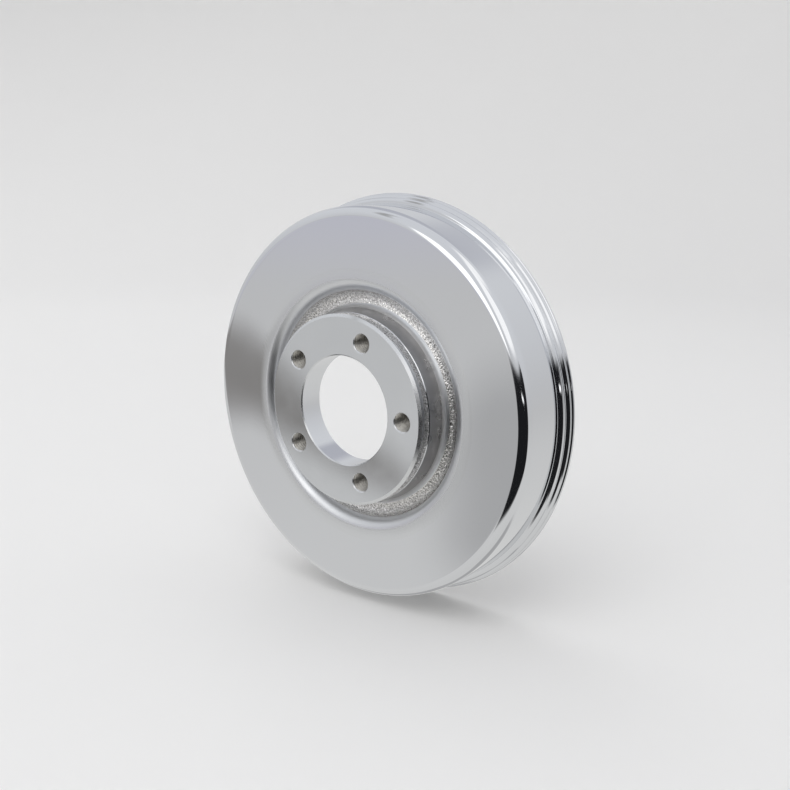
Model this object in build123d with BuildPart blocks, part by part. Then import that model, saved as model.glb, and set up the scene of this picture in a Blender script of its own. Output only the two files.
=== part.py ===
from build123d import *
import os

# Cast brake drum with a shrunk-in friction ring.
# Frame: origin on the hub axis in the plane of the boss's mounting face. The hub axis is Y,
# +Y runs from the mounting face to the open end, +X is right and +Z is up.
# Profiles are drawn in the XY plane as (radius, depth behind the mounting face), in millimetres.

# Driving dimensions
FRICTION_R = 101.6          # 8 in friction diameter
BOLT_CIRCLE_R = 41.275      # 3.25 in bolt circle
BOLT_COUNT = 5
BOLT_CLOCK = -1.0           # degrees from +X to the first hole
DRUM_R = 111.75             # outside of the drum's cylindrical wall
LIP_R = 117.3               # largest radius, just before the open end
END_Y = 52.4                # open end plane
FACE_Y = 12.6               # polished outer face

# Hub boss and its five tapped holes, 7/16-14 thread
BORE_R = 30.95
BORE_CHAMFER = 0.6
BOSS_R = 53.95
BOSS_CHAMFER_R = 1.6        # radial width of the boss's edge chamfer
BOSS_CHAMFER_Y = 1.27       # its depth
BOSS_BACK_Y = 14.95         # rear face of the bolting flange
TAP_DRILL_R = 4.7
COUNTERSINK_R = 5.7
COUNTERSINK_ANGLE = 90

# A fine groove splits the boss's side into a straight band and a slightly tapered one
GROOVE_Y = 7.3
GROOVE_DEPTH = 0.3
TAPER_Y = 8.1

# Sand-cast recess around the boss
RECESS_ROOT = (56.2, 21.6)
RECESS_FLOOR = (64.2, 21.2)
RECESS_LIP_R = 66.7
ROOT_FILLET = 5.0
FLOOR_FILLET = 4.0
LIP_FILLET = 7.3            # broad roll from the polished face into the recess

# Outer corner between the face and the cylindrical wall
CORNER_FILLET = 5.95

# Lip at the open end: three rounded beads that step outwards, with a groove behind each.
# Each entry is a corner as (radius, depth) and its fillet radius.
LIP = (
    ((DRUM_R, 42.3), 0.4),
    ((113.3, 42.55), 1.6),
    ((114.3, 43.2), 1.0),
    ((115.0, 44.1), 0.5),       # crest of the first bead
    ((114.4, 46.1), 0.3),       # first groove
    ((115.6, 46.75), 1.0),
    ((116.5, 47.6), 0.5),       # crest of the second bead
    ((115.9, 49.3), 0.3),       # second groove
    ((116.8, 49.8), 0.6),
    ((LIP_R, 50.4), 0.6),       # crest of the third bead, which tapers to the open end
)
END_R = 116.4               # outside of the open end
END_FILLET = 0.5

# Inside of the shell
WEB_BACK_Y = 19.2           # rear of the web
POCKET_R = 48.0             # pocket behind the bolting flange
POCKET_FILLET = 1.4
BULGE_BACK_Y = 26.1         # rear of the recess, seen from inside the drum
BULGE_INNER_R = 49.5
BULGE_OUTER_R = 66.0
BULGE_FOOT_R = 72.0
BULGE_INNER_FILLET = 2.5
BULGE_FILLET = 5.0
RELIEF_R = 102.2            # clearance beside the shoes, in the shell and in the ring's front end
RELIEF_FILLET = 1.6

# Friction ring
RING_R = 106.6              # seat between the ring and the shell
RING_FRONT_Y = 21.6
FLANGE_R = 110.2            # the ring's shoulder at the open end
FLANGE_Y = 49.6
TRACK_Y = 26.3              # the ground friction track begins here, clear of the bulge
RING_ENTRY_CHAMFER = 0.6

# Each entry is a corner of the shell's section and its fillet radius
FRONT_SIDE = [
    ((BORE_R, BORE_CHAMFER), 0),
    ((BORE_R + BORE_CHAMFER, 0), 0),
    ((BOSS_R - BOSS_CHAMFER_R, 0), 0),
    ((BOSS_R, BOSS_CHAMFER_Y), 0),
    ((BOSS_R, GROOVE_Y), 0),
    ((BOSS_R - GROOVE_DEPTH, (GROOVE_Y + TAPER_Y) / 2), 0),
    ((BOSS_R + 0.05, TAPER_Y), 0),
    (RECESS_ROOT, ROOT_FILLET),
    (RECESS_FLOOR, FLOOR_FILLET),
    ((RECESS_LIP_R, FACE_Y), LIP_FILLET),
    ((DRUM_R, FACE_Y), CORNER_FILLET),
    *LIP,
    ((END_R, END_Y), END_FILLET),
]
BACK_SIDE = [
    ((FLANGE_R, END_Y), 0),
    ((FLANGE_R, FLANGE_Y), 0),
    ((RING_R, FLANGE_Y), 0),
    ((RING_R, RING_FRONT_Y), 0),
    ((RELIEF_R, RING_FRONT_Y), 0),
    ((RELIEF_R, WEB_BACK_Y), RELIEF_FILLET),
    ((BULGE_FOOT_R, WEB_BACK_Y), BULGE_FILLET),
    ((BULGE_OUTER_R, BULGE_BACK_Y), BULGE_FILLET),
    ((BULGE_INNER_R, BULGE_BACK_Y), BULGE_INNER_FILLET),
    ((POCKET_R, BOSS_BACK_Y), POCKET_FILLET),
    ((BORE_R, BOSS_BACK_Y), 0),
]
SHELL_SECTION = FRONT_SIDE + BACK_SIDE

boss_face = Plane(origin=(0, 0, 0), x_dir=(1, 0, 0), z_dir=(0, -1, 0))

# The shell: one casting with its bolting flange, web, wall and lip
with BuildPart() as drum_shell:
    with BuildSketch(Plane.XY):
        with BuildLine():
            FilletPolyline(
                *[corner for corner, _ in SHELL_SECTION],
                radius=[fillet_radius for _, fillet_radius in SHELL_SECTION],
                close=True,
            )
        make_face()
    revolve(axis=Axis.Y)
    with Locations(boss_face):
        with PolarLocations(BOLT_CIRCLE_R, BOLT_COUNT, start_angle=BOLT_CLOCK):
            CounterSinkHole(TAP_DRILL_R, COUNTERSINK_R, BOSS_BACK_Y, COUNTERSINK_ANGLE)

# The friction ring: grey iron, shrunk into the shell against a shoulder
with BuildPart() as friction_ring:
    with BuildSketch(Plane.XY):
        with BuildLine():
            Polyline(
                (FRICTION_R, TRACK_Y),
                (RELIEF_R, TRACK_Y - (RELIEF_R - FRICTION_R)),
                (RELIEF_R, RING_FRONT_Y),
                (RING_R, RING_FRONT_Y),
                (RING_R, FLANGE_Y),
                (FLANGE_R, FLANGE_Y),
                (FLANGE_R, END_Y),
                (FRICTION_R + RING_ENTRY_CHAMFER, END_Y),
                (FRICTION_R, END_Y - RING_ENTRY_CHAMFER),
                close=True,
            )
        make_face()
    revolve(axis=Axis.Y)

drum_shell.part.label = "drum_shell"
friction_ring.part.label = "friction_ring"

os.makedirs("parts", exist_ok=True)
for piece in (drum_shell.part, friction_ring.part):
    export_step(piece, f"parts/{piece.label}.step")
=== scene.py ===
import math

import bpy
import numpy as np
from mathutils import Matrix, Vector, geometry, noise


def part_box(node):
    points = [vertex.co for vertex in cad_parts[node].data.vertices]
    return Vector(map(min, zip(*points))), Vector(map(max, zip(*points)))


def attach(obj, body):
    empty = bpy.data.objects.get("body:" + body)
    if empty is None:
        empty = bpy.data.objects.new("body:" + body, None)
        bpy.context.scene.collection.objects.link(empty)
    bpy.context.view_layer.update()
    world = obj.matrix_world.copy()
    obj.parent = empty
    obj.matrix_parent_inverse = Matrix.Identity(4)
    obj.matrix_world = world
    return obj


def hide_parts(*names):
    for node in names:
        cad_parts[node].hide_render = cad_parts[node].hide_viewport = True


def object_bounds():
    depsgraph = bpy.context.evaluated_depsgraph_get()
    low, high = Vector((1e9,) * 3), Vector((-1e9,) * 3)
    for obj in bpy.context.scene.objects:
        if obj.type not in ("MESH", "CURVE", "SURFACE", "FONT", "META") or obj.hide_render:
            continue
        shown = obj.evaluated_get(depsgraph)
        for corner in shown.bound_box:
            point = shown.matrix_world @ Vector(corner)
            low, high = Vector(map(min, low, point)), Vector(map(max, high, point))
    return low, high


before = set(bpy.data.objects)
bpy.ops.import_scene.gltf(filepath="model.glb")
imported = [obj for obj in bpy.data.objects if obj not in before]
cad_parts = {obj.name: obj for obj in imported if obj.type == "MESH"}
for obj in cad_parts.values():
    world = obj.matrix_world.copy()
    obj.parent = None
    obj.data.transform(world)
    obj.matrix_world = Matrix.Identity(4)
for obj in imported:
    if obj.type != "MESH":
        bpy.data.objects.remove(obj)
cad_low, cad_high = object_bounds()

MM = 0.001

# The shell's section, in millimetres, as in the CAD model: radius and depth behind the
# mounting face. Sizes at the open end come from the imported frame, and the lip's largest
# corner is a hair inside the CAD's 117.3, so that the visual stays within its box.
LIP_R = 117.28
END_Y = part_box("drum_shell")[1].y / MM
RING_FRONT_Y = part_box("friction_ring")[0].y / MM
FLANGE_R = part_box("friction_ring")[1].x / MM
BOLT_CIRCLE_R = 41.275
BOLT_COUNT = 5
BOLT_CLOCK = math.radians(-1.0)
BORE_R = 30.95
BORE_CHAMFER = 0.6
BOSS_R = 53.95
BOSS_CHAMFER_R = 1.6
BOSS_CHAMFER_Y = 1.27
BOSS_BACK_Y = 14.95           # rear of the bolting flange
GROOVE_Y = 7.3
GROOVE_DEPTH = 0.3
TAPER_Y = 8.1
FACE_Y = 12.6
DRUM_R = 111.75
# Lip at the open end: corners as (radius, depth, fillet)
LIP = (
    (DRUM_R, 42.3, 0.4),
    (113.3, 42.55, 1.6),
    (114.3, 43.2, 1.0),
    (115.0, 44.1, 0.5),       # crest of the first bead
    (114.4, 46.1, 0.3),       # first groove
    (115.6, 46.75, 1.0),
    (116.5, 47.6, 0.5),       # crest of the second bead
    (115.9, 49.3, 0.3),       # second groove
    (116.8, 49.8, 0.6),
    (LIP_R, 50.4, 0.6),       # crest of the third bead, which tapers to the open end
)
END_R = 116.4
END_FILLET = 0.5
CORNER_FILLET = 5.95          # between the face and the cylindrical wall
WEB_BACK_Y = 19.2
POCKET_R = 48.0
POCKET_FILLET = 1.4
BULGE_BACK_Y = 26.1
BULGE_INNER_R = 49.5
BULGE_INNER_FILLET = 2.5
BULGE_OUTER_R = 66.0
BULGE_FOOT_R = 72.0
BULGE_FILLET = 5.0
RELIEF_R = 102.2
RELIEF_FILLET = 1.6
RING_R = 106.6
FRICTION_R = 101.6
FLANGE_Y = 49.6
TRACK_Y = 26.3
RING_ENTRY_CHAMFER = 0.6
RING_EDGE_CHAMFER = 0.25
RECESS_ROOT = (56.2, 21.6)
RECESS_FLOOR = (64.2, 21.2)
RECESS_LIP_R = 66.7
ROOT_FILLET = 5.0
FLOOR_FILLET = 4.0
ROLL_FILLET = 7.3
POLISH_R = 78.0               # the face is fully polished outside this radius

# Thread of the bolt holes, 7/16-14
MINOR_R = 4.7
THREAD_DEPTH = 0.85
THREAD_PITCH = 25.4 / 14
CREST_FLAT = 0.12             # flats of the thread, as shares of half a pitch
ROOT_FLAT = 0.14
SINK_R = 5.7                  # countersink at the mounting face
BACK_SINK_R = 5.2             # small chamfer at the flange's rear

# Cast grain of the recess around the boss
CAST_INNER_R = 57.6           # smooth inside this radius, where the root meets the boss
CAST_SHALLOW_Y = 16.4         # smooth nearer the face than this depth
GRAIN_SIZE = 1.25
GRAIN_HEIGHT = 0.34

SEGMENTS = 360
FINE = 3                      # the cast recess has this many times the segments
ARC_STEP = math.radians(5)    # turn of each facet in a fillet
INSIDE_STEP = math.radians(10)
CAST_STEP = 0.40              # spacing of the cast zone's rings
SAMPLE_STEP = 0.1             # spacing at which the recess is first sampled

# Camera, in metres
CAMERA_PLACE = (0.3968, -0.4583, 0.1449)
CAMERA_TURN = 38.16           # degrees to the left of straight ahead
CAMERA_DIP = 12.66            # degrees below the horizon
SENSOR = 36.0
LENS = 51.17


# ---------------------------------------------------------------- outlines

def outline(corners):
    """Points round a closed section, from corners of (radius, depth, fillet, finish).

    Each point is (position, normal before it, normal after it, finish after it).
    """
    points = []
    for index, (radius, depth, fillet, finish) in enumerate(corners):
        here = Vector((radius, depth))
        before = (here - Vector(corners[index - 1][:2])).normalized()
        after = (Vector(corners[(index + 1) % len(corners)][:2]) - here).normalized()
        turn = before.angle_signed(after)
        if not fillet:
            points.append((here, side(before), side(after), finish))
            continue
        reach = fillet * math.tan(abs(turn) / 2)
        centre = here - before * reach + side(before) * fillet * math.copysign(1, turn)
        step = INSIDE_STEP if finish == "inside" else ARC_STEP
        count = max(2, math.ceil(abs(turn) / step))
        for k in range(count + 1):
            normal = turned(side(before), -turn * k / count)
            points.append((centre - normal * fillet * math.copysign(1, turn), normal, normal, finish))
    return points


def side(direction):
    """The section's outward normal for a direction of travel."""
    return Vector((direction.y, -direction.x))


def turned(vector, angle):
    c, s = math.cos(angle), math.sin(angle)
    return Vector((c * vector.x - s * vector.y, s * vector.x + c * vector.y))


def is_cast(point):
    return point.x >= CAST_INNER_R and point.y >= CAST_SHALLOW_Y


def with_cast_zone(points):
    """The outline with even, closely spaced points across the cast part of the recess."""
    zone = [k for k, p in enumerate(points) if p[3] == "recess"]
    first, last = zone[0], zone[-1] + 1
    path = []
    for a, b in zip(points[first:last], points[first + 1:last + 1]):
        length = (b[0] - a[0]).length
        pieces = max(1, math.ceil(length / SAMPLE_STEP))
        for k in range(pieces):
            t = k / pieces
            normal = a[2].lerp(b[1], t).normalized()
            path.append((a[0].lerp(b[0], t), normal, normal, "recess"))
    inner = next(k for k, p in enumerate(path) if is_cast(p[0]))
    outer = max(k for k, p in enumerate(path) if is_cast(p[0]))
    length = sum((path[k + 1][0] - path[k][0]).length for k in range(inner, outer))
    count = round(length / CAST_STEP)
    chosen = [path[round(inner + (outer - inner) * k / count)] for k in range(count + 1)]
    cast = [(p, n, m, "cast") for p, n, m, _ in chosen[:-1]] + [chosen[-1]]
    smooth = [p for p in points[first:last] if not is_cast(p[0])]
    before = [p for p in smooth if p[0].x < CAST_INNER_R]
    after = [p for p in smooth if p[0].x >= CAST_INNER_R]
    return points[:first] + before + cast + after + points[last:]


# ---------------------------------------------------------------- meshes

class Solid:
    """Vertices, faces, corner normals and finishes of one turned piece, in millimetres."""

    def __init__(self):
        self.points = []
        self.faces = []
        self.normals = []
        self.finishes = []

    def ring(self, radius, depth, count, centre=(0.0, 0.0)):
        """A circle of vertices. radius may be a number or one value for each vertex."""
        start = len(self.points)
        for j, (c, s) in enumerate(circle(count)):
            r = radius if isinstance(radius, float) else radius[j]
            self.points.append((centre[0] + r * c, depth, centre[1] + r * s))
        return list(range(start, start + count))

    def face(self, corners, normals, finish):
        self.faces.append(corners)
        self.normals.extend(normals)
        self.finishes.append(finish)

    def make(self, name, materials):
        mesh = bpy.data.meshes.new(name)
        mesh.from_pydata([Vector(p) * MM for p in self.points], [], self.faces)
        names = list(materials)
        for material in materials.values():
            mesh.materials.append(material)
        mesh.polygons.foreach_set("material_index", [names.index(f) for f in self.finishes])
        mesh.polygons.foreach_set("use_smooth", [True] * len(self.faces))
        mesh.normals_split_custom_set([Vector(n).normalized() for n in self.normals])
        piece = bpy.data.objects.new(name, mesh)
        bpy.context.scene.collection.objects.link(piece)
        return piece


def circle(count):
    return [(math.cos(2 * math.pi * j / count), math.sin(2 * math.pi * j / count)) for j in range(count)]


def spun(normal, j, count):
    """A section normal (radial, depth) turned to segment j of a ring."""
    angle = 2 * math.pi * j / count
    return (normal.x * math.cos(angle), normal.y, normal.x * math.sin(angle))


def turn_solid(solid, points, flats=()):
    """Spins a closed outline. The flats, by finish, are left for flat_with_holes."""
    rings = []
    for position, _, _, finish in points:
        count = SEGMENTS * (FINE if finish == "cast" else 1)
        rings.append(solid.ring(position.x, position.y, count))
    for k, ring in enumerate(rings):
        following = rings[(k + 1) % len(rings)]
        first, last = points[k][2], points[(k + 1) % len(points)][1]
        finish = points[k][3]
        if finish in flats:
            continue
        if len(ring) == len(following):
            for j in range(len(ring)):
                i = (j + 1) % len(ring)
                n = len(ring)
                solid.face(
                    (ring[j], following[j], following[i], ring[i]),
                    (spun(first, j, n), spun(last, j, n), spun(last, j + 1, n), spun(first, j + 1, n)),
                    finish,
                )
        else:
            stitch(solid, ring, following, first, last, finish)
    return rings


def stitch(solid, ring, following, first, last, finish):
    """Joins a ring to one with FINE times as many vertices, or FINE times fewer."""
    opens = len(following) > len(ring)
    coarse, dense = (ring, following) if opens else (following, ring)
    coarse_normal, dense_normal = (first, last) if opens else (last, first)
    n, m = len(coarse), len(dense)
    for j in range(n):
        a = (coarse[j], spun(coarse_normal, j, n))
        b = (coarse[(j + 1) % n], spun(coarse_normal, j + 1, n))
        fine = [(dense[(FINE * j + k) % m], spun(dense_normal, FINE * j + k, m)) for k in range(FINE + 1)]
        middle = FINE // 2 + 1
        fans = [(a, fine[k], fine[k + 1]) for k in range(middle - 1)]
        fans += [(a, fine[middle - 1], b)]
        fans += [(b, fine[k], fine[k + 1]) for k in range(middle - 1, FINE)]
        for fan in fans:
            fan = fan if opens else fan[::-1]
            solid.face([v for v, _ in fan], [normal for _, normal in fan], finish)


def flat_with_holes(solid, outer, inner, holes, towards, finish):
    """A flat ring between two circles of vertices, with round holes in it."""
    loops = [outer, inner, *holes]
    used = [v for loop in loops for v in loop]
    flat = [Vector((solid.points[v][0], solid.points[v][2])) for v in used]
    place = {v: k for k, v in enumerate(used)}
    edges = [(place[a], place[b]) for loop in loops for a, b in zip(loop, loop[1:] + loop[:1])]
    _, _, triangles, _, _, _ = geometry.delaunay_2d_cdt(flat, edges, [], 0, 1e-7)
    inside_r = math.hypot(*flat[place[inner[0]]])
    circles = []
    for loop in holes:
        ring = [flat[place[v]] for v in loop]
        centre = sum(ring, Vector((0, 0))) / len(ring)
        circles.append((centre, (ring[0] - centre).length))
    for triangle in triangles:
        middle = sum((flat[k] for k in triangle), Vector((0, 0))) / 3
        if middle.length < inside_r * 0.9999:
            continue
        if any((middle - centre).length < radius * 0.9999 for centre, radius in circles):
            continue
        a, b, c = triangle
        ordered = (flat[b] - flat[a]).cross(flat[c] - flat[a]) > 0
        corners = (a, b, c) if ordered == (towards < 0) else (a, c, b)
        solid.face([used[k] for k in corners], [(0, towards, 0)] * 3, finish)


def thread_radius(depth, angle):
    """Radius of a bolt hole's wall: countersink, screw thread, and a small rear chamfer."""
    phase = (depth / THREAD_PITCH - angle / (2 * math.pi)) % 1
    flank = min(1, max(0, (abs(2 * phase - 1) - CREST_FLAT) / (1 - CREST_FLAT - ROOT_FLAT)))
    thread = MINOR_R + THREAD_DEPTH * flank
    return max(SINK_R - depth, thread, BACK_SINK_R - (BOSS_BACK_Y - depth))


def bolt_hole(solid, angle, sides=32, rings=68):
    """One tapped hole. Returns its front and rear circles of vertices."""
    centre = (BOLT_CIRCLE_R * math.cos(angle), BOLT_CIRCLE_R * math.sin(angle))
    angles = [2 * math.pi * j / sides for j in range(sides)]
    depths = [BOSS_BACK_Y * k / rings for k in range(rings + 1)]
    made = []
    for k, depth in enumerate(depths):
        if k == 0:
            radii = [SINK_R] * sides
        elif k == rings:
            radii = [BACK_SINK_R] * sides
        else:
            radii = [thread_radius(depth, a) for a in angles]
        made.append(solid.ring(radii, depth, sides, centre))

    def normal(depth, a):
        small = 0.02
        rise = (thread_radius(depth + small, a) - thread_radius(depth - small, a)) / (2 * small)
        twist = (thread_radius(depth, a + small) - thread_radius(depth, a - small)) / (2 * small)
        c, s, twist = math.cos(a), math.sin(a), twist / MINOR_R
        return (-c - twist * s, rise, -s + twist * c)

    for k in range(rings):
        for j in range(sides):
            i = (j + 1) % sides
            spots = ((k, j), (k, i), (k + 1, i), (k + 1, j))
            solid.face(
                [made[row][column] for row, column in spots],
                [normal(depths[row], angles[column]) for row, column in spots],
                "sink" if depths[k + 1] <= SINK_R - MINOR_R else "thread",
            )
    return made[0], made[-1]


def grain(place):
    """Height of the cast surface, from 0 to about 1: rounded grains of mixed sizes."""
    place = Vector(place)
    near, _ = noise.voronoi(place / GRAIN_SIZE)
    small, _ = noise.voronoi(place / (GRAIN_SIZE * 0.55) + Vector((7.3, 1.9, 4.1)))
    wander = noise.noise(place / 4.0)
    return 0.62 * max(0, 1 - 1.9 * near[0] ** 2) + 0.30 * max(0, 1 - 1.9 * small[0] ** 2) + 0.25 * wander


def roughen(solid, points, rings):
    """Raises grains on the cast rings, ragged at both edges, and tilts the normals to match."""
    rows = [k for k, p in enumerate(points) if p[3] == "cast"]
    count = SEGMENTS * FINE
    leans = np.array([[spun(points[k][1], j, count) for j in range(count)] for k in rows])
    places = np.array([[solid.points[v] for v in rings[k]] for k in rows])
    heights = np.zeros((len(rows), count))
    for row in range(len(rows)):
        from_edge = min(row, len(rows) - row) * CAST_STEP
        for j in range(count):
            ragged = 0.5 + 0.9 * noise.noise(Vector(places[row, j]) / 2.2)
            strength = ease((from_edge / 1.1 - 0.8 * ragged) * 1.6 + 0.2)
            heights[row, j] = GRAIN_HEIGHT * grain(places[row, j]) * strength if row else 0.0
    places = places + leans * heights[..., None]
    along = np.gradient(places, axis=0)
    around = np.roll(places, -1, axis=1) - np.roll(places, 1, axis=1)
    tilted = np.cross(along, around)
    tilted /= np.linalg.norm(tilted, axis=2, keepdims=True)
    tilted *= np.sign(np.sum(tilted * leans, axis=2, keepdims=True))
    normals = {}
    for row, k in enumerate(rows):
        for j, v in enumerate(rings[k]):
            solid.points[v] = tuple(places[row, j])
            normals[v] = tuple(tilted[row, j])
    corner = 0
    for face, finish in zip(solid.faces, solid.finishes):
        for v in face:
            if finish == "cast" and v in normals:
                solid.normals[corner] = normals[v]
            corner += 1


def shell_section():
    """The shell's corners: radius, depth, fillet and the finish of what follows."""
    return [
        (BORE_R, BORE_CHAMFER, 0, "chamfer"),
        (BORE_R + BORE_CHAMFER, 0, 0, "boss_face"),
        (BOSS_R - BOSS_CHAMFER_R, 0, 0, "chamfer"),
        (BOSS_R, BOSS_CHAMFER_Y, 0, "polished"),
        (BOSS_R, GROOVE_Y, 0, "polished"),
        (BOSS_R - GROOVE_DEPTH, (GROOVE_Y + TAPER_Y) / 2, 0, "polished"),
        (BOSS_R + 0.05, TAPER_Y, 0, "boss_side"),
        (*RECESS_ROOT, ROOT_FILLET, "recess"),
        (*RECESS_FLOOR, FLOOR_FILLET, "recess"),
        (RECESS_LIP_R, FACE_Y, ROLL_FILLET, "roll"),
        (POLISH_R, FACE_Y, 0, "polished"),
        (DRUM_R, FACE_Y, CORNER_FILLET, "polished"),
        *[(*corner, "polished") for corner in LIP],
        (END_R, END_Y, END_FILLET, "inside"),
        (FLANGE_R, END_Y, 0, "inside"),
        (FLANGE_R, FLANGE_Y, 0, "inside"),
        (RING_R, FLANGE_Y, 0, "inside"),
        (RING_R, RING_FRONT_Y, 0, "inside"),
        (RELIEF_R, RING_FRONT_Y, 0, "inside"),
        (RELIEF_R, WEB_BACK_Y, RELIEF_FILLET, "inside"),
        (BULGE_FOOT_R, WEB_BACK_Y, BULGE_FILLET, "inside"),
        (BULGE_OUTER_R, BULGE_BACK_Y, BULGE_FILLET, "inside"),
        (BULGE_INNER_R, BULGE_BACK_Y, BULGE_INNER_FILLET, "inside"),
        (POCKET_R, BOSS_BACK_Y, POCKET_FILLET, "flange_back"),
        (BORE_R, BOSS_BACK_Y, 0, "polished"),
    ]


def shell(materials):
    solid = Solid()
    points = with_cast_zone(outline(shell_section()))
    rings = turn_solid(solid, points, flats=("boss_face", "flange_back"))
    roughen(solid, points, rings)
    fronts, backs = [], []
    for k in range(BOLT_COUNT):
        front, back = bolt_hole(solid, BOLT_CLOCK + 2 * math.pi * k / BOLT_COUNT)
        fronts.append(front)
        backs.append(back)
    face = next(k for k, p in enumerate(points) if p[3] == "boss_face")
    flat_with_holes(solid, rings[face + 1], rings[face], fronts, -1, "boss_face")
    # Known gap: the pocket's fillet shares the finish of the flat behind the flange, so
    # turn_solid leaves it out too, and the flat starts inside it. The strip from radius 46.8 to
    # 48.2 mm is missing, and shows from behind as a thin black line.
    back = max(k for k, p in enumerate(points) if p[3] == "flange_back")
    flat_with_holes(solid, rings[back], rings[back + 1], backs, 1, "inside")
    return solid.make("drum_casting", materials)


def ring_piece(materials):
    """The iron friction ring, with its shoulder at the open end."""
    corners = [
        (FRICTION_R, TRACK_Y, 0, "ring_end"),
        (RELIEF_R, TRACK_Y - (RELIEF_R - FRICTION_R), 0, "ring_end"),
        (RELIEF_R, RING_FRONT_Y, 0, "ring_end"),
        (RING_R, RING_FRONT_Y, 0, "ring_end"),
        (RING_R, FLANGE_Y, 0, "ring_end"),
        (FLANGE_R, FLANGE_Y, 0, "ring_end"),
        (FLANGE_R, END_Y - RING_EDGE_CHAMFER, 0, "ring_end"),
        (FLANGE_R - RING_EDGE_CHAMFER, END_Y, 0, "ring_end"),
        (FRICTION_R + RING_ENTRY_CHAMFER, END_Y, 0, "ring_end"),
        (FRICTION_R, END_Y - RING_ENTRY_CHAMFER, 0, "friction"),
    ]
    solid = Solid()
    turn_solid(solid, outline(corners))
    return solid.make("friction_ring_turned", materials)


# ---------------------------------------------------------------- materials

class Nodes:
    """A material's node tree, with short calls to add and link nodes."""

    def __init__(self, name, colour, metallic, roughness):
        self.material = bpy.data.materials.new(name)
        self.material.use_nodes = True
        self.tree = self.material.node_tree
        self.shader = self.tree.nodes["Principled BSDF"]
        self.shader.inputs["Base Color"].default_value = (*colour, 1)
        self.shader.inputs["Metallic"].default_value = metallic
        self.shader.inputs["Roughness"].default_value = roughness
        coordinates = self.tree.nodes.new("ShaderNodeTexCoord")
        self.place = coordinates.outputs["Object"]

    def add(self, kind, settings=None, **inputs):
        node = self.tree.nodes.new(kind)
        for key, value in (settings or {}).items():
            setattr(node, key, value)
        for key, value in inputs.items():
            socket = node.inputs[int(key[1:])] if key[1:].isdigit() else node.inputs[key.replace("_", " ")]
            if isinstance(value, bpy.types.NodeSocket):
                self.tree.links.new(value, socket)
            else:
                socket.default_value = value
        return node

    def math(self, operation, a, b=0.0):
        return self.add("ShaderNodeMath", {"operation": operation}, i0=a, i1=b).outputs[0]

    def noise(self, scale, detail=2.0, roughness=0.5, place=None):
        node = self.add("ShaderNodeTexNoise", Vector=place or self.place,
                        Scale=scale, Detail=detail, Roughness=roughness)
        return node.outputs["Fac"]

    def spread(self, value, low, high, to_low, to_high):
        node = self.add("ShaderNodeMapRange", Value=value, From_Min=low, From_Max=high,
                        To_Min=to_low, To_Max=to_high)
        return node.outputs["Result"]

    def radius(self):
        """Distance from the hub axis, in metres."""
        parts = self.add("ShaderNodeSeparateXYZ", Vector=self.place)
        x, z = parts.outputs["X"], parts.outputs["Z"]
        square = self.math("ADD", self.math("MULTIPLY", x, x), self.math("MULTIPLY", z, z))
        return self.math("SQRT", square)

    def rings(self, spacing, along=None):
        """Fine tool marks: noise that changes only with radius, or along the axis."""
        parts = self.add("ShaderNodeSeparateXYZ", Vector=self.place)
        value = self.radius() if along is None else parts.outputs["Y"]
        line = self.add("ShaderNodeCombineXYZ", X=value)
        return self.noise(1 / spacing, 3.0, 0.6, line.outputs[0])

    def bump(self, height, distance, strength=1.0, under=None):
        settings = {"Height": height, "Distance": distance, "Strength": strength}
        if under is not None:
            settings["Normal"] = under
        return self.add("ShaderNodeBump", None, **settings).outputs[0]

    def colour(self, factor, low, high):
        ramp = self.add("ShaderNodeValToRGB", Fac=factor)
        ramp.color_ramp.elements[0].color = (*low, 1)
        ramp.color_ramp.elements[1].color = (*high, 1)
        return ramp.outputs["Color"]

    def link(self, name, value):
        self.tree.links.new(value, self.shader.inputs[name])


def polished_chrome():
    m = Nodes("polished_chrome", (0.79, 0.80, 0.82), 1.0, 0.05)
    haze = m.noise(22.0, 4.0)
    m.link("Roughness", m.spread(haze, 0.35, 0.7, 0.035, 0.085))
    m.link("Base Color", m.colour(m.noise(9.0, 2.0), (0.77, 0.78, 0.80), (0.81, 0.82, 0.84)))
    peel = m.bump(m.noise(420.0, 1.0), 0.00002, 0.06)
    pits = m.add("ShaderNodeTexVoronoi", Vector=m.place, Scale=75.0)
    rare = m.math("GREATER_THAN", m.spread(pits.outputs["Color"], 0, 1, 0, 1), 0.93)
    pit = m.math("MULTIPLY", rare, m.spread(pits.outputs["Distance"], 0.03, 0.0, 0.0, 1.0))
    m.link("Normal", m.bump(pit, -0.0003, 1.0, peel))
    return m.material


def turned_chrome():
    m = Nodes("turned_chrome", (0.75, 0.76, 0.76), 1.0, 0.07)
    marks = m.rings(0.0003)
    m.link("Roughness", m.spread(m.noise(60.0, 3.0), 0.3, 0.7, 0.05, 0.09))
    m.link("Base Color", m.colour(m.noise(35.0, 5.0), (0.72, 0.735, 0.755), (0.78, 0.795, 0.815)))
    m.link("Normal", m.bump(marks, 0.000006, 0.3))
    return m.material


def cut_edge():
    """Chamfers and countersinks: plated, but not polished after the cut."""
    m = Nodes("cut_edge", (0.78, 0.79, 0.80), 1.0, 0.25)
    m.link("Roughness", m.spread(m.noise(90.0, 3.0), 0.3, 0.7, 0.20, 0.32))
    return m.material


def buffed_chrome():
    """The roll round the recess: hazy inside, polished where it meets the face."""
    m = Nodes("buffed_chrome", (0.78, 0.785, 0.79), 1.0, 0.26)
    haze = m.spread(m.radius(), 0.0700, 0.0770, 0.33, 0.055)
    m.link("Roughness", m.math("MULTIPLY", haze, m.spread(m.noise(45.0, 3.0), 0.3, 0.7, 0.85, 1.15)))
    m.link("Base Color", m.colour(m.noise(30.0, 4.0), (0.76, 0.77, 0.785), (0.80, 0.81, 0.825)))
    m.link("Normal", m.bump(m.noise(700.0, 2.0), 0.00003, 0.3))
    return m.material


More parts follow.
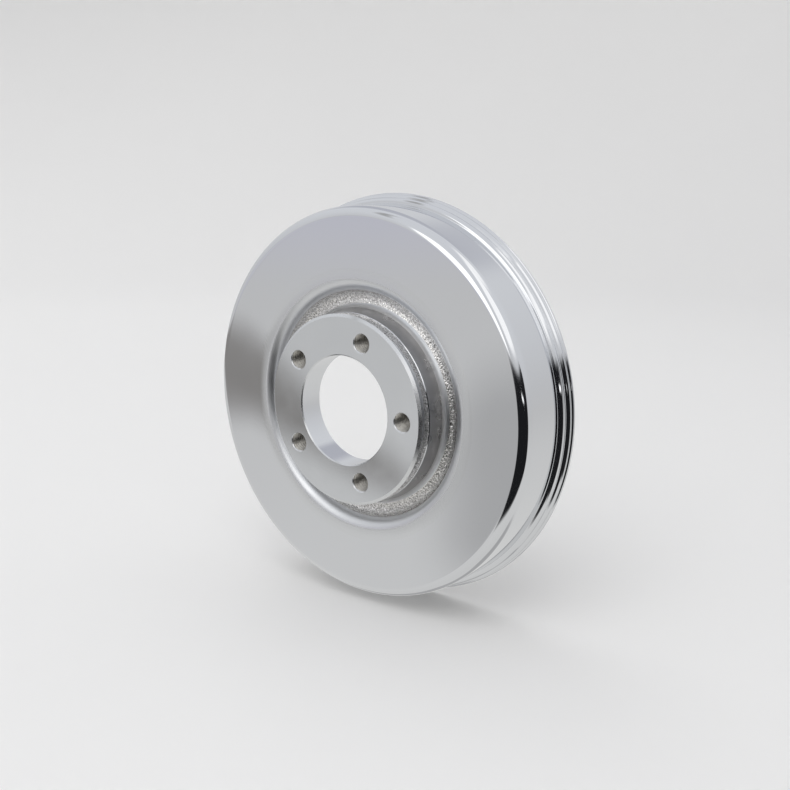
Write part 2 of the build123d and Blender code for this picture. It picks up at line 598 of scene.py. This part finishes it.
def satin_band():
    m = Nodes("satin_band", (0.46, 0.46, 0.47), 1.0, 0.3)
    m.link("Roughness", m.spread(m.noise(80.0, 3.0), 0.3, 0.7, 0.24, 0.38))
    m.link("Base Color", m.colour(m.rings(0.0008, along="y"), (0.40, 0.40, 0.41), (0.55, 0.55, 0.56)))
    m.link("Normal", m.bump(m.rings(0.0006, along="y"), 0.00006, 0.7))
    return m.material


def cast_chrome():
    m = Nodes("cast_chrome", (0.70, 0.69, 0.67), 1.0, 0.16)
    speckle = m.spread(m.noise(1150.0, 1.0), 0.34, 0.66, 0.0, 1.0)
    m.link("Base Color", m.colour(speckle, (0.50, 0.49, 0.475), (0.97, 0.955, 0.935)))
    m.link("Roughness", m.spread(m.noise(500.0, 2.0), 0.3, 0.7, 0.10, 0.24))
    m.link("Normal", m.bump(m.noise(1300.0, 2.0), 0.00030, 1.0))
    return m.material


def tapped_iron():
    m = Nodes("tapped_iron", (0.30, 0.28, 0.26), 0.95, 0.36)
    m.link("Base Color", m.colour(m.noise(500.0, 4.0), (0.30, 0.28, 0.25), (0.78, 0.76, 0.71)))
    m.link("Normal", m.bump(m.noise(2500.0, 2.0), 0.00005, 0.6))
    return m.material


def dull_casting():
    m = Nodes("dull_casting", (0.42, 0.42, 0.42), 0.85, 0.5)
    m.link("Base Color", m.colour(m.noise(120.0, 6.0), (0.30, 0.30, 0.30), (0.55, 0.55, 0.54)))
    m.link("Roughness", m.spread(m.noise(200.0, 3.0), 0.3, 0.7, 0.38, 0.6))
    m.link("Normal", m.bump(m.noise(900.0, 4.0), 0.0002, 0.5))
    return m.material


def turned_iron(name, along):
    m = Nodes(name, (0.33, 0.32, 0.31), 0.95, 0.34)
    marks = m.rings(0.0005, along=along)
    m.link("Base Color", m.colour(m.noise(70.0, 5.0), (0.25, 0.24, 0.23), (0.42, 0.41, 0.40)))
    m.link("Roughness", m.spread(m.noise(150.0, 3.0), 0.3, 0.7, 0.26, 0.44))
    m.link("Normal", m.bump(marks, 0.00004, 0.7))
    return m.material


def plain_paper():
    m = Nodes("pale_paper", (0.84, 0.835, 0.825), 0.0, 0.9)
    m.link("Base Color", m.colour(m.noise(2.5, 2.0), (0.850, 0.843, 0.832), (0.862, 0.855, 0.843)))
    return m.material


# ---------------------------------------------------------------- studio

def heading(azimuth, elevation):
    """A direction. Azimuth 0 is in front of the drum, towards -Y, and 90 is to its right."""
    a, e = math.radians(azimuth), math.radians(elevation)
    return Vector((math.sin(a) * math.cos(e), -math.cos(a) * math.cos(e), math.sin(e)))


def reflector(name, outline, light, distance, feather, tint=(1.0, 1.0, 1.0)):
    """A curved patch of the room that only the chrome reflects.

    outline gives the patch's lowest and highest elevation at several azimuths, and feather
    the width of its soft edge, all in degrees.
    """
    stops = [azimuth for azimuth, _, _ in outline]
    lows = [low for _, low, _ in outline]
    highs = [high for _, _, high in outline]
    degrees_per_column, rows = 1.5, 30
    columns = math.ceil((stops[-1] - stops[0]) / degrees_per_column)
    points, cover = [], []
    for j in range(columns + 1):
        azimuth = stops[0] + (stops[-1] - stops[0]) * j / columns
        low, high = np.interp(azimuth, stops, lows), np.interp(azimuth, stops, highs)
        from_end = min(azimuth - stops[0], stops[-1] - azimuth)
        for i in range(rows + 1):
            elevation = low + (high - low) * i / rows
            from_side = min(elevation - low, high - elevation)
            points.append(heading(azimuth, elevation) * distance)
            cover.append(ease(from_end / feather) * ease(from_side / feather))
    return glowing_panel(name, points, rows + 1, cover, light, tint)


def glowing_panel(name, points, height, cover, light, tint):
    """A panel from a grid of points in columns of the given height, fading out with cover."""
    faces = []
    for j in range(len(points) // height - 1):
        for i in range(height - 1):
            a = j * height + i
            faces.append((a, a + height, a + height + 1, a + 1))
    mesh = bpy.data.meshes.new(name)
    mesh.from_pydata(points, [], faces)
    mesh.attributes.new("cover", "FLOAT", "POINT").data.foreach_set("value", cover)
    panel = bpy.data.objects.new(name, mesh)
    bpy.context.scene.collection.objects.link(panel)
    material = bpy.data.materials.new(name)
    material.use_nodes = True
    tree = material.node_tree
    tree.nodes.clear()
    glow = tree.nodes.new("ShaderNodeEmission")
    glow.inputs["Color"].default_value = (*tint, 1)
    glow.inputs["Strength"].default_value = light
    attribute = tree.nodes.new("ShaderNodeAttribute")
    attribute.attribute_name = "cover"
    mix = tree.nodes.new("ShaderNodeMixShader")
    tree.links.new(attribute.outputs["Fac"], mix.inputs[0])
    tree.links.new(tree.nodes.new("ShaderNodeBsdfTransparent").outputs[0], mix.inputs[1])
    tree.links.new(glow.outputs[0], mix.inputs[2])
    tree.links.new(mix.outputs[0], tree.nodes.new("ShaderNodeOutputMaterial").inputs[0])
    mesh.materials.append(material)
    panel.visible_camera = False
    panel.visible_diffuse = False
    panel.visible_shadow = False
    return panel


def ease(t):
    """0 at or below 0, 1 at or above 1, and smooth between."""
    t = min(1.0, max(0.0, t))
    return t * t * (3 - 2 * t)


def paper_sweep(material):
    """A round floor whose edge curves up into a low wall."""
    floor_z = cad_low.z
    middle_y = 0.03
    flat_r, bend_r, wall_height = 1.5, 0.9, 2.6
    profile = [(0.0, 0.0), (0.2, 0.0), (0.6, 0.0), (flat_r, 0.0)]
    bend = [math.radians(a) for a in range(6, 91, 6)]
    profile += [(flat_r + bend_r * math.sin(a), bend_r * (1 - math.cos(a))) for a in bend]
    profile.append((flat_r + bend_r, wall_height))
    count = 96
    points = [(r * c, middle_y + r * s, floor_z + h) for r, h in profile for c, s in circle(count)]
    faces = []
    for k in range(len(profile) - 1):
        for j in range(count):
            i = (j + 1) % count
            faces.append((k * count + j, k * count + i, (k + 1) * count + i, (k + 1) * count + j))
    mesh = bpy.data.meshes.new("paper_sweep")
    mesh.from_pydata(points, [], faces)
    mesh.polygons.foreach_set("use_smooth", [True] * len(faces))
    mesh.materials.append(material)
    sweep = bpy.data.objects.new("paper_sweep", mesh)
    bpy.context.scene.collection.objects.link(sweep)
    sweep.visible_glossy = False
    sweep.visible_shadow = False


def studio_world():
    world = bpy.data.worlds.new("studio")
    bpy.context.scene.world = world
    world.use_nodes = True
    tree = world.node_tree
    backdrop = tree.nodes["Background"]
    coordinates = tree.nodes.new("ShaderNodeTexCoord")
    parts = tree.nodes.new("ShaderNodeSeparateXYZ")
    tree.links.new(coordinates.outputs["Generated"], parts.inputs[0])
    ramp = tree.nodes.new("ShaderNodeValToRGB")
    height = tree.nodes.new("ShaderNodeMapRange")
    height.inputs["From Min"].default_value = -1
    tree.links.new(parts.outputs["Z"], height.inputs["Value"])
    tree.links.new(height.outputs[0], ramp.inputs["Fac"])
    sky = [
        (-1.00, (0.66, 0.66, 0.65)),
        (-0.64, (0.69, 0.69, 0.68)),
        (-0.35, (0.66, 0.66, 0.655)),
        (-0.12, (0.60, 0.60, 0.60)),
        (0.02, (0.60, 0.605, 0.615)),
        (0.28, (0.66, 0.67, 0.69)),
        (0.60, (0.72, 0.735, 0.76)),
        (1.00, (0.72, 0.735, 0.77)),
    ]
    stops = ramp.color_ramp.elements
    while len(stops) < len(sky):
        stops.new(0.5)
    for stop, (z, colour) in zip(stops, sky):
        stop.position, stop.color = (z + 1) / 2, (*colour, 1)
    tree.links.new(ramp.outputs["Color"], backdrop.inputs["Color"])
    backdrop.inputs["Strength"].default_value = 1.0


def area_light(name, azimuth, elevation, distance, size, power):
    data = bpy.data.lights.new(name, "AREA")
    data.shape = "SQUARE"
    data.size = size
    data.energy = power
    lamp = bpy.data.objects.new(name, data)
    bpy.context.scene.collection.objects.link(lamp)
    away = heading(azimuth, elevation)
    lamp.location = away * distance
    lamp.rotation_mode = "QUATERNION"
    lamp.rotation_quaternion = away.to_track_quat("Z", "Y")
    lamp.visible_camera = False
    lamp.visible_glossy = False
    return lamp


def camera():
    data = bpy.data.cameras.new("camera")
    data.sensor_width = SENSOR
    data.lens = LENS
    holder = bpy.data.objects.new("camera", data)
    bpy.context.scene.collection.objects.link(holder)
    holder.location = CAMERA_PLACE
    holder.rotation_euler = (math.radians(90 - CAMERA_DIP), 0, math.radians(CAMERA_TURN))
    bpy.context.scene.camera = holder


chrome = polished_chrome()
buffed = buffed_chrome()
inside = dull_casting()
casting = shell({
    "polished": chrome,
    "boss_face": turned_chrome(),
    "chamfer": cut_edge(),
    "sink": cut_edge(),
    "boss_side": satin_band(),
    "recess": buffed,
    "roll": buffed,
    "cast": cast_chrome(),
    "thread": tapped_iron(),
    "inside": inside,
    "flange_back": inside,
})
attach(casting, "root")
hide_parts("drum_shell")

ring = ring_piece({
    "friction": turned_iron("friction_surface", "y"),
    "ring_end": turned_iron("ring_end", None),
})
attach(ring, "root")
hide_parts("friction_ring")

paper_sweep(plain_paper())
studio_world()

# What the chrome reflects: bright softboxes and ceiling, a dark room beyond, and pale walls
reflector("softbox_left", [(-28, 6, 36), (-20, 1, 40), (-10, 0, 44), (8, 2, 38)], 1.45, 3.4, 4)
reflector(
    "softbox_right",
    [(20, 12, 30), (30, 11, 46), (44, 13, 68), (62, 18, 76), (80, 34, 76)], 1.15, 3.4, 9,
)
reflector("ceiling_right", [(66, 54, 80), (90, 50, 84), (124, 50, 84), (146, 56, 80)], 1.10, 3.5, 12)
reflector(
    "ceiling_left", [(-196, 28, 54), (-160, 22, 74), (-130, 22, 74), (-100, 36, 66)],
    0.50, 3.5, 16, tint=(1.0, 1.02, 1.12),
)
reflector("lamp_arm", [(-68, 60, 74), (-58, 50, 68), (-46, 40, 58), (-34, 34, 46)], 0.42, 3.3, 8)
reflector(
    "dark_room",
    [(-29, -19, -14), (-22, -25, -8), (-12, -33, -2), (0, -37, 3), (15, -41, 6), (30, -43, 9),
     (45, -42, 12), (60, -38, 17), (70, -34, 20), (77, -26, 14)],
    0.012, 3.0, 4.5, tint=(0.95, 0.98, 1.1),
)
reflector(
    "brown_shade",
    [(-108, -10, -2), (-90, -10.5, -2), (-75, -12, -2), (-60, -14, -3), (-52, -14.5, -5),
     (-47, -15, -7), (-44, -16.6, -9.8), (-41, -18.4, -12.8), (-38, -19.8, -14.8),
     (-35, -20.8, -16.8)],
    0.265, 3.1, 3.0, tint=(1.0, 0.965, 0.93),
)
reflector("back_floor", [(98, -84, -50), (130, -84, -46), (200, -84, -42), (262, -84, -46)], 0.42, 3.5, 9)
reflector("window_spots", [(33, -2.4, 1.0), (49, -2.2, 1.6)], 1.4, 2.8, 1.2)
reflector("blue_wall", [(-66, -7, 8), (-18, -7, 8)], 0.585, 3.6, 6, tint=(0.99, 0.99, 1.09))
reflector("face_shade", [(-37, -25, -14), (-33, -26, -9), (-22, -26, -6)], 0.45, 3.3, 5)

# What lights the paper and everything that isn't a mirror
area_light("key", 20, 55, 1.8, 1.4, 9)
area_light("fill", -110, 45, 2.0, 1.6, 6.5)
camera()

bpy.context.scene.view_settings.view_transform = "Standard"
